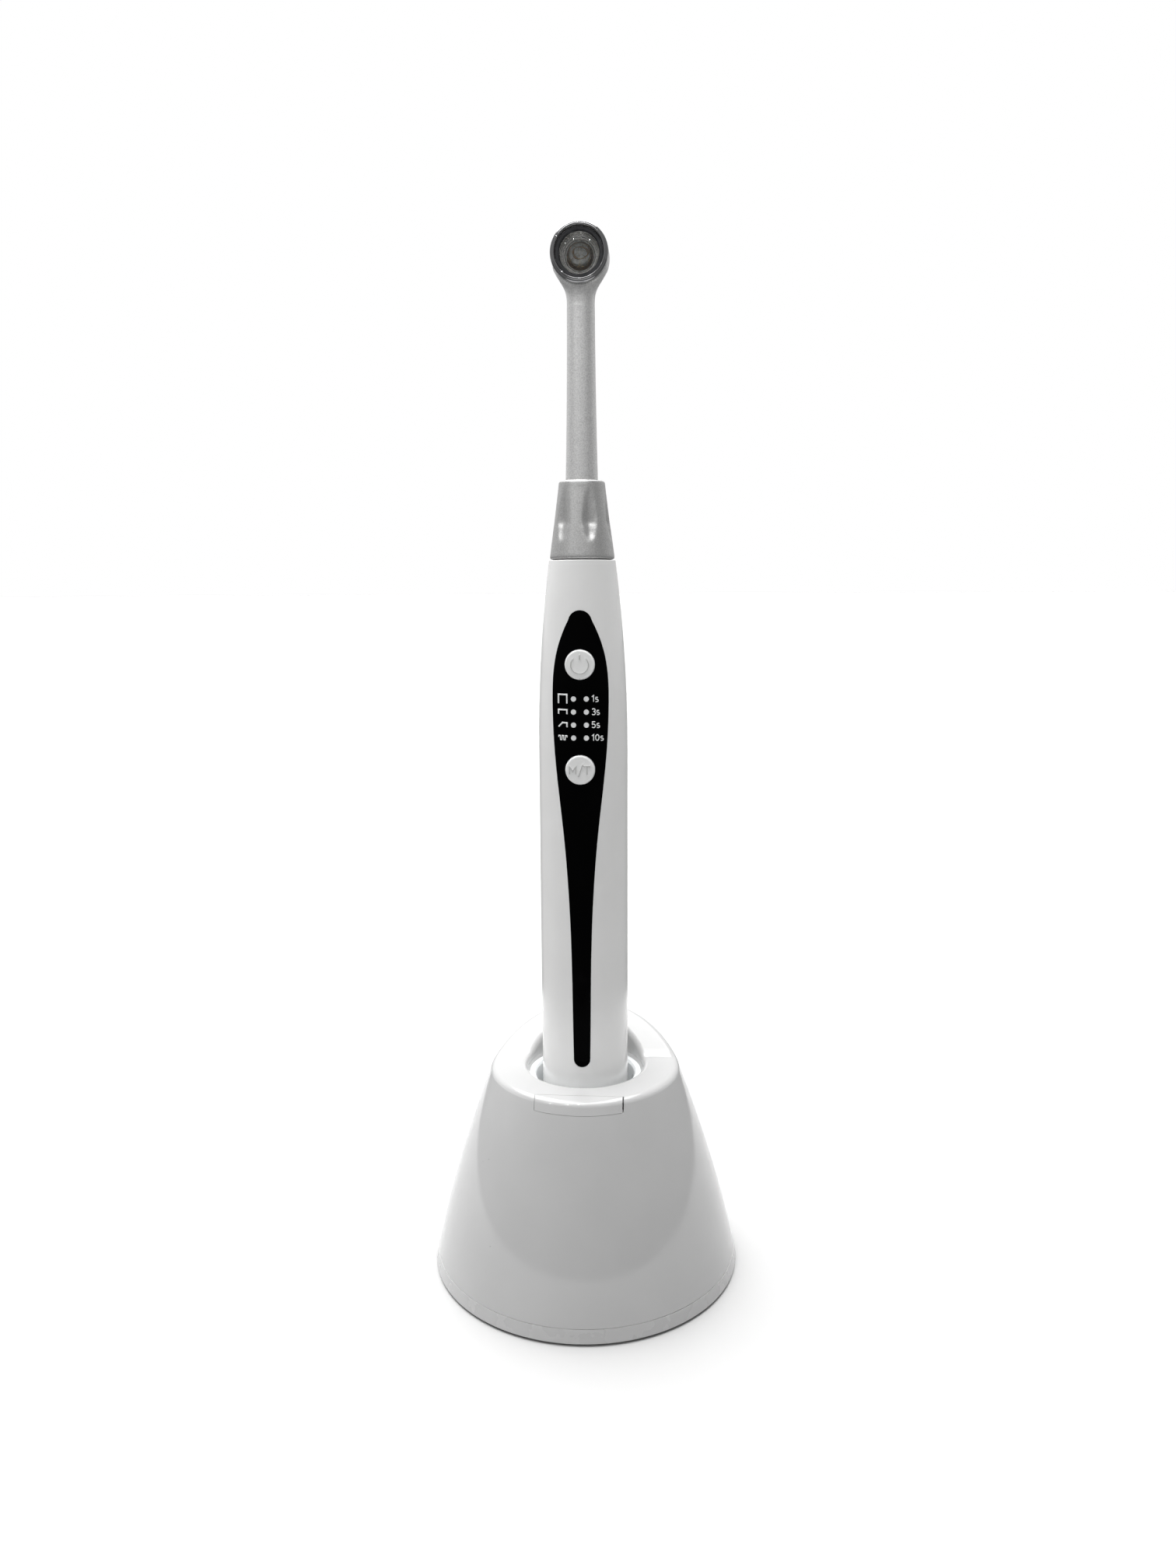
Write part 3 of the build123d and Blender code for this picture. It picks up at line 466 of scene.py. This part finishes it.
def stations(path, closed):
    """The path's corners, with more points between them on long runs."""
    ends = path + path[:1] if closed else path
    points = []
    for (x0, z0), (x1, z1) in zip(ends, ends[1:]):
        run = Vector((x1 - x0, z1 - z0))
        parts = max(1, round(run.length / PRINT_AND_SHADE_STEP))
        points += [Vector((x0, z0)) + run * i / parts for i in range(parts)]
    return points if closed else points + [Vector(path[-1])]


def stroke(bm, face, path, width, closed=False):
    """Thin closed ribbon along a path of (x, z) in mm, laid on a face."""
    lift, sink = -PRINT_AND_SHADE_LIFT * MM, PRINT_AND_SHADE_SINK * MM
    points = stations(path, closed)
    last = len(points) - 1
    rows = []
    for i, point in enumerate(points):
        before = points[i - 1] if i or closed else point
        after = points[(i + 1) % len(points)] if i < last or closed else point
        into = (point - before).normalized() if before != point else (after - point).normalized()
        out = (after - point).normalized() if after != point else into
        along = (into + out).normalized()
        spread = width / 2 / max(along.dot(out), 0.5)
        across = Vector((-along.y, along.x)) * spread
        row = []
        for side, height in ((1, lift), (-1, lift), (-1, sink), (1, sink)):
            x, z = (point + across * side) * MM
            row.append(bm.verts.new((x, depth_at(face, x, z) + height, z)))
        rows.append(row)
    for here, there in zip(rows, rows[1:]):
        join_rings(bm, here, there)
    if closed:
        join_rings(bm, rows[-1], rows[0])
    else:
        bm.faces.new(rows[0])
        bm.faces.new(rows[-1])


# One character on a body one unit high: its stroke and its width. The nought is a closed loop.
GLYPHS = {
    "1": ([(0.04, 0.76), (0.30, 0.97), (0.30, 0.0)], 0.52),
    "0": (arc(0.34, 0.49, 0.26, 0.45, 90, 450, 20)[:-1], 0.76),
    "3": (arc(0.30, 0.73, 0.24, 0.22, 150, -80, 9) + arc(0.30, 0.26, 0.27, 0.25, 80, -150, 11), 0.70),
    "5": ([(0.54, 0.95), (0.14, 0.95), (0.10, 0.55)] + arc(0.30, 0.31, 0.26, 0.28, 130, -145, 12), 0.72),
    "s": (arc(0.28, 0.52, 0.19, 0.16, 40, 250, 8) + arc(0.28, 0.18, 0.21, 0.18, 80, -145, 9), 0.60),
}
POWER_MARK = (
    arc(0, 0, 2.5, 2.5, 134, 406, 40),
    [(0, 1.45), (0, 2.8)],
)
MODE_MARK = (
    [(-3.0, -1.1), (-3.0, 1.1), (-2.1, -0.3), (-1.2, 1.1), (-1.2, -1.1)],
    [(-0.5, -1.9), (0.8, 1.75)],
    [(1.0, 1.2), (3.0, 1.2)],
    [(2.0, 1.2), (2.0, -1.2)],
)


def row_height(row):
    """Height in mm of a row of windows, counted from the top."""
    return (TOP_ROW_Z - ROW_PITCH * row) / MM


def printed(name, bm):
    """Print on the panel, in the windows' plastic."""
    add_piece(mesh_from(name, bm), MATERIALS["window_clear"], "handpiece")


def time_labels():
    """Curing times beside the right windows."""
    face = face_of("panel_overlay")
    bm = bmesh.new()
    for row, text in enumerate(("1s", "3s", "5s", "10s")):
        x = LABEL_X
        foot = row_height(row) + LABEL_RAISE - LABEL_HEIGHT / 2
        for character in text:
            path, width = GLYPHS[character]
            placed = [(x + px * LABEL_HEIGHT, foot + pz * LABEL_HEIGHT) for px, pz in path]
            stroke(bm, face, placed, LABEL_STROKE, closed=character == "0")
            x += width * LABEL_HEIGHT
    printed("time_labels", bm)


def mode_icons():
    """Output curves beside the left windows: full, low, ramped and pulsed."""
    left, right = ICON_LEFT, ICON_RIGHT
    full = [(left, -1.35), (left, 1.2), (right, 1.2), (right, -1.35)]
    low = [(left, -0.65), (left, 0.6), (right, 0.6), (right, -0.65)]
    ramp = [(left, -0.6), (left + 1.15, 0.6), (right, 0.6), (right, -0.65)]
    pulse = (right - left) / 5
    pulses = [(left, 0.15)]
    for i in range(5):
        level = 0.6 if i % 2 == 0 else -0.6
        pulses += [(left + pulse * (i + 0.08), level), (left + pulse * (i + 0.92), level)]
    pulses.append((right, 0.1))
    face = face_of("panel_overlay")
    bm = bmesh.new()
    for row, path in enumerate((full, low, ramp, pulses)):
        width = ICON_STROKE * (PULSE_STROKE if path is pulses else 1.0)
        stroke(bm, face, [(x, row_height(row) + z) for x, z in path], width)
    printed("mode_icons", bm)


def symbol_shade_ribbons(name, button, paths):
    """Painted shade: a darker ribbon along the raised symbol of a button, standing in for the shading of
    its edges.
    """
    low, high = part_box(button)
    face = face_of(button)
    middle = (low.z + high.z) / 2 / MM
    bm = bmesh.new()
    for path in paths:
        stroke(bm, face, [(x, middle + z) for x, z in path], SYMBOL_SHADE_STROKE)
    add_piece(mesh_from(name, bm), SYMBOL_SHADE_PLASTIC, button)


# ---- light head ----------------------------------------------------------------------------------
def lathe(name, outline):
    """Closed outline of (radius, distance in front of the neck) in mm, turned about the lens axis."""
    bm = bmesh.new()
    rings = []
    for i in range(LATHE_STEPS):
        angle = 2 * pi * i / LATHE_STEPS
        ring = []
        for radius, ahead in outline:
            x = radius * cos(angle) * MM
            z = HEAD_Z + radius * sin(angle) * MM
            ring.append(bm.verts.new((x, -ahead * MM, z)))
        rings.append(ring)
    count = len(outline)
    for i, ring in enumerate(rings):
        after = rings[(i + 1) % LATHE_STEPS]
        for j in range(count):
            k = (j + 1) % count
            on_axis = outline[j][0] == 0 and outline[k][0] == 0
            if not on_axis:
                bm.faces.new((ring[j], ring[k], after[k], after[j]))
    bmesh.ops.remove_doubles(bm, verts=bm.verts, dist=0.0001 * MM)
    bmesh.ops.dissolve_degenerate(bm, edges=bm.edges, dist=0.0001 * MM)
    return mesh_from(name, bm)


def head_piece(mesh, slot, replaces=(), material=None):
    """Piece of the light head, in its slot's material unless it has its own."""
    add_piece(mesh, material or MATERIALS[slot], "light_head", replaces)


def bezel_ring():
    """Polished ring: rounded shoulder, a fine groove, a crowned front and a bevelled lip."""
    outer = BEZEL_RADIUS / MM
    front = HEAD_FRONT / MM
    back = BEZEL_BACK / MM
    shoulder = arc(outer - 0.62, front - 1.0, 0.62, 0.72, 0, 78, 10)
    crown = arc(outer - 0.92, front - 0.20, 0.28, 0.20, 10, 170, 10)
    outline = [(outer - 0.88, back), (outer, back)] + shoulder
    outline += [(outer - 0.60, front - 0.42)] + crown
    outline += [(outer - 1.24, front - 0.34), (outer - 1.36, front - 0.50)]
    outline += [(outer - 1.36, front - 0.92), (outer - 0.88, front - 0.92)]
    head_piece(lathe("bezel_ring", outline), "bezel_chrome", ["lens_bezel"])


def front_lens():
    """Domed window behind the bezel's lip, hollow at the back."""
    rim, back, edge, crown = 6.4, 3.65, 4.1, 5.85
    hollow, depth = 5.9, 1.15
    swell = [(rim * share, edge + (crown - edge) * (1 - share ** 2)) for share in LENS_STATIONS]
    inside = [(hollow * share, back + depth * (1 - share ** 2)) for share in LENS_STATIONS]
    outline = [(0, back + depth)] + inside[::-1] + [(rim, back)] + swell + [(0, crown)]
    head_piece(lathe("front_lens", outline), "lens_glass", ["lens"])


def reflector_cup():
    """Turned cone round the emitter, stepped by the cutting tool."""
    wall = [(6.3, -1.1), (6.3, 3.5), (5.75, 3.5)]
    for i in range(CUP_STEPS):
        radius = 5.68 - 0.42 * i
        ahead = 3.3 - 0.46 * i
        wall += [(radius, ahead), (radius - 0.04, ahead - 0.36), (radius - 0.22, ahead - 0.30)]
    wall += [(3.95, 1.5), (3.9, 1.0), (3.9, -1.1)]
    head_piece(lathe("reflector_cup", wall), "reflector_metal", ["reflector"])


def emitter_disc():
    """Ceramic carrier disc with a raised rim."""
    back, rim, top = -1.15, 1.45, 1.5
    outline = [(0, back), (3.8, back), (3.8, rim), (3.75, top), (3.65, rim)]
    outline += [(3.6, EMITTER_FACE), (0, EMITTER_FACE)]
    head_piece(lathe("emitter_disc", outline), "led_ceramic", ["led_emitter"])


def phosphor_ring():
    """Uneven brown bead of phosphor resin round the dies."""
    bm = bmesh.new()
    around, about = 64, 14
    rows = []
    for i in range(around):
        a = 2 * pi * i / around
        size = 0.20 + 0.09 * sin(2 * a + 0.6) + 0.05 * sin(5 * a)
        radius = 1.62 + 0.08 * sin(3 * a + 1.0)
        row = []
        for j in range(about):
            b = 2 * pi * j / about
            r = radius + size * cos(b)
            x = (CHIP_CENTRE[0] + 1.15 * r * cos(a)) * MM
            z = HEAD_Z + (CHIP_CENTRE[1] + 0.85 * r * sin(a)) * MM
            row.append(bm.verts.new((x, -(EMITTER_FACE + 0.08 + size * sin(b)) * MM, z)))
        rows.append(row)
    for i, row in enumerate(rows):
        join_rings(bm, row, rows[(i + 1) % around])
    head_piece(mesh_from("phosphor_ring", bm), "led_ceramic", material=PHOSPHOR)


def emitter_dies():
    """Four chips under a shallow resin, as bevelled tiles."""
    wide, thick, tall = DIE_SIZE
    bm = bmesh.new()
    for x in (-DIE_SPACING[0], DIE_SPACING[0]):
        for z in (-DIE_SPACING[1], DIE_SPACING[1]):
            tile = bmesh.ops.create_cube(bm, size=1.0)["verts"]
            for v in tile:
                local = v.co.copy()
                v.co.x = (CHIP_CENTRE[0] + x + wide * local.x) * MM
                v.co.z = HEAD_Z + (CHIP_CENTRE[1] + z + tall * local.z) * MM
                v.co.y = -(EMITTER_FACE + 0.05 - thick * local.y) * MM
    bmesh.ops.bevel(bm, geom=bm.edges[:], offset=0.06 * MM, segments=2, profile=0.6, affect="EDGES")
    head_piece(mesh_from("emitter_dies", bm), "led_ceramic")


def tube(bm, path, radius, sides=8):
    """Closed round wire along points."""
    rows = []
    for i, point in enumerate(path):
        along = (path[min(i + 1, len(path) - 1)] - path[max(i - 1, 0)]).normalized()
        across = along.cross(Vector((0, 0.3, 1))).normalized()
        up = along.cross(across)
        angles = [2 * pi * j / sides for j in range(sides)]
        rows.append([bm.verts.new(point + (across * cos(a) + up * sin(a)) * radius) for a in angles])
    for here, there in zip(rows, rows[1:]):
        join_rings(bm, here, there)
    bm.faces.new(rows[0])
    bm.faces.new(rows[-1])


def bond_wires():
    """Looped wires from the dies out to the carrier."""
    bm = bmesh.new()
    runs = 14
    for turn in WIRE_TURNS:
        a = radians(turn)
        path = []
        for i in range(runs + 1):
            share = i / runs
            reach = 0.5 + 2.35 * share
            rise = 0.18 + 0.75 * sin(pi * share) * (1 - 0.35 * share)
            sway = 0.22 * sin(2 * pi * share + a)
            x = CHIP_CENTRE[0] * (1 - share) + reach * cos(a) - sway * sin(a)
            z = CHIP_CENTRE[1] * (1 - share) + reach * sin(a) + sway * cos(a)
            path.append(Vector((x * MM, -(EMITTER_FACE + rise) * MM, HEAD_Z + z * MM)))
        tube(bm, path, WIRE_RADIUS * MM)
    head_piece(mesh_from("bond_wires", bm), "gold_contact")


def emitter_dome():
    """Clear silicone dome moulded over the carrier."""
    rim, back, edge, crown = 3.55, EMITTER_FACE + 0.02, EMITTER_FACE + 0.12, EMITTER_FACE + 1.2
    swell = [(rim * cos(radians(t)), edge + (crown - edge) * sin(radians(t))) for t in range(0, 90, 10)]
    outline = [(0, back), (rim, back)] + swell + [(0, crown)]
    head_piece(lathe("emitter_dome", outline), "lens_glass", ["collimator"])


eased_copy("front_snap_tab", "cover_tab", TAB_BEVEL, "base_plastic")
eased_copy("base_plate", "plate_body", 0, "plate_plastic")
time_labels()
mode_icons()
# Painted shade along the raised symbols of the two buttons.
symbol_shade_ribbons("power_symbol_shade", "power_button", POWER_MARK)
symbol_shade_ribbons("mode_symbol_shade", "mode_button", MODE_MARK)
# The neck wears the lighter, painted-light copy of the satin aluminium.
flowing_copy("neck_housing", "head_body", LIT_NECK_METAL, (WHOLE_NECK, NECK_INTO_HEAD))
flowing_copy("head_collar", "collar_body", MATERIALS["satin_aluminium"], (COLLAR_FLUTES,))
pin_spring("centre")
pin_spring("outer")
bezel_ring()
front_lens()
reflector_cup()
emitter_disc()
phosphor_ring()
emitter_dies()
bond_wires()
emitter_dome()


# ---- stage ---------------------------------------------------------------------------------------
def mixed(tree, share, first, second):
    """Shader that goes from the first to the second as share goes from 0 to 1."""
    mix = tree.nodes.new("ShaderNodeMixShader")
    for source, socket in zip((share, first, second), mix.inputs):
        tree.links.new(source, socket)
    return mix.outputs["Shader"]


def white_floor():
    """Wide pale floor, which throws back less light than it shows, as a darker table would."""
    shader = Shader("studio_floor", (FLOOR_SHOWN, FLOOR_SHOWN, FLOOR_SHOWN), 0.8)
    shader.vary_roughness(shader.noise(60 * MM), 0.05)
    bounce = shader.nodes.new("ShaderNodeBsdfDiffuse")
    bounce.inputs["Color"].default_value = (FLOOR_BOUNCE, FLOOR_BOUNCE, FLOOR_BOUNCE, 1)
    mirrored = shader.nodes.new("ShaderNodeBsdfDiffuse")
    reach = shader.nodes.new("ShaderNodeVectorMath")
    reach.operation = "LENGTH"
    shader.links.new(shader.place, reach.inputs[0])
    near, far = SHEET_RADIUS * 0.96, SHEET_RADIUS * 1.04
    sheet = shader.mapped(reach.outputs["Value"], near, far, SHEET_MIRRORED, SHEET_OUTSIDE)
    shader.links.new(sheet, mirrored.inputs["Color"])
    tree = shader.material.node_tree
    ray = shader.nodes.new("ShaderNodeLightPath").outputs
    thrown = mixed(tree, ray["Is Glossy Ray"], bounce.outputs["BSDF"], mirrored.outputs["BSDF"])
    shown = mixed(tree, ray["Is Camera Ray"], thrown, shader.bsdf.outputs["BSDF"])
    shader.links.new(shown, shader.nodes["Material Output"].inputs["Surface"])
    mesh = bpy.data.meshes.new("floor")
    angles = [2 * pi * i / FLOOR_STEPS for i in range(FLOOR_STEPS)]
    rim = [(FLOOR_RADIUS * cos(a), FLOOR_RADIUS * sin(a), 0) for a in angles]
    mesh.from_pydata(rim, [], [list(range(FLOOR_STEPS))])
    mesh.materials.append(shader.material)
    floor = bpy.data.objects.new("floor", mesh)
    bpy.context.scene.collection.objects.link(floor)


def background(tree, strength):
    """White world light of a strength, which may come from another node."""
    node = tree.nodes.new("ShaderNodeBackground")
    node.inputs["Color"].default_value = (1, 1, 1, 1)
    if isinstance(strength, float):
        node.inputs["Strength"].default_value = strength
    else:
        tree.links.new(strength, node.inputs["Strength"])
    return node.outputs["Background"]


def studio_world():
    """White behind the object; for everything else a room that is brighter on the window's side."""
    world = bpy.data.worlds.new("studio")
    bpy.context.scene.world = world
    world.use_nodes = True
    tree = world.node_tree
    nodes, links = tree.nodes, tree.links
    direction = nodes.new("ShaderNodeTexCoord").outputs["Generated"]
    facing = nodes.new("ShaderNodeVectorMath")
    facing.operation = "DOT_PRODUCT"
    facing.inputs[1].default_value = Vector(WINDOW_SIDE).normalized()
    links.new(direction, facing.inputs[0])
    split = nodes.new("ShaderNodeSeparateXYZ")
    links.new(direction, split.inputs["Vector"])
    total = nodes.new("ShaderNodeMath")
    links.new(map_range(tree, facing.outputs["Value"], -1, 1, ROOM_DIM, ROOM_BRIGHT), total.inputs[0])
    links.new(map_range(tree, split.outputs["Y"], -0.2, 0.5, 0, ROOM_BEHIND), total.inputs[1])
    seen = nodes.new("ShaderNodeLightPath").outputs["Is Camera Ray"]
    shown = mixed(tree, seen, background(tree, total.outputs["Value"]), background(tree, 1.0))
    links.new(shown, nodes["World Output"].inputs["Surface"])


def add_light(data, place, direction):
    """Put a light in the scene, shining along a direction."""
    light = bpy.data.objects.new(data.name, data)
    light.location = place
    light.rotation_euler = direction.to_track_quat("-Z", "Y").to_euler()
    bpy.context.scene.collection.objects.link(light)
    return light


def soft_key():
    """Wide, distant overhead light, so that the floor is evenly lit."""
    data = bpy.data.lights.new("key", "SUN")
    data.angle = radians(KEY_SPREAD)
    data.energy = KEY_STRENGTH
    add_light(data, (0, 0, 0), -Vector(KEY_DIRECTION))


def ceiling_lamp(name, azimuth, elevation, power):
    """Small square lamp that shines on the head; azimuth 0 is straight in front."""
    a, e = radians(azimuth), radians(elevation)
    outward = Vector((sin(a) * cos(e), -cos(a) * cos(e), sin(e)))
    data = bpy.data.lights.new(name, "AREA")
    data.shape = "SQUARE"
    data.size = LAMP_SIZE
    data.energy = power
    return add_light(data, Vector((0, 0, HEAD_Z)) + outward * LAMP_DISTANCE, -outward)


def wand_camera():
    azimuth = radians(CAMERA_AZIMUTH)
    side = Vector((cos(azimuth), sin(azimuth), 0))
    ahead = Vector((-sin(azimuth), cos(azimuth), 0))
    data = bpy.data.cameras.new("camera")
    data.lens = LENS_MM
    data.sensor_width = 36
    data.clip_start = 0.01
    camera = bpy.data.objects.new("camera", data)
    place = -ahead * CAMERA_DISTANCE + side * CAMERA_SIDE + Vector((0, 0, CAMERA_HEIGHT))
    turn = (
        Matrix.Rotation(azimuth, 4, "Z")
        @ Matrix.Rotation(radians(90 - CAMERA_PITCH), 4, "X")
        @ Matrix.Rotation(radians(-CAMERA_ROLL), 4, "Z")
    )
    camera.matrix_world = Matrix.Translation(place) @ turn
    bpy.context.scene.collection.objects.link(camera)
    bpy.context.scene.camera = camera


white_floor()
studio_world()
soft_key()
for number, (azimuth, elevation) in enumerate(LAMPS):
    ceiling_lamp(f"lamp_{number}", azimuth, elevation, LAMP_POWER)
    glint = ceiling_lamp(f"glint_{number}", azimuth, elevation, GLINT_POWER)
    glint.visible_diffuse = False
wand_camera()
bpy.context.scene.view_settings.view_transform = "Standard"
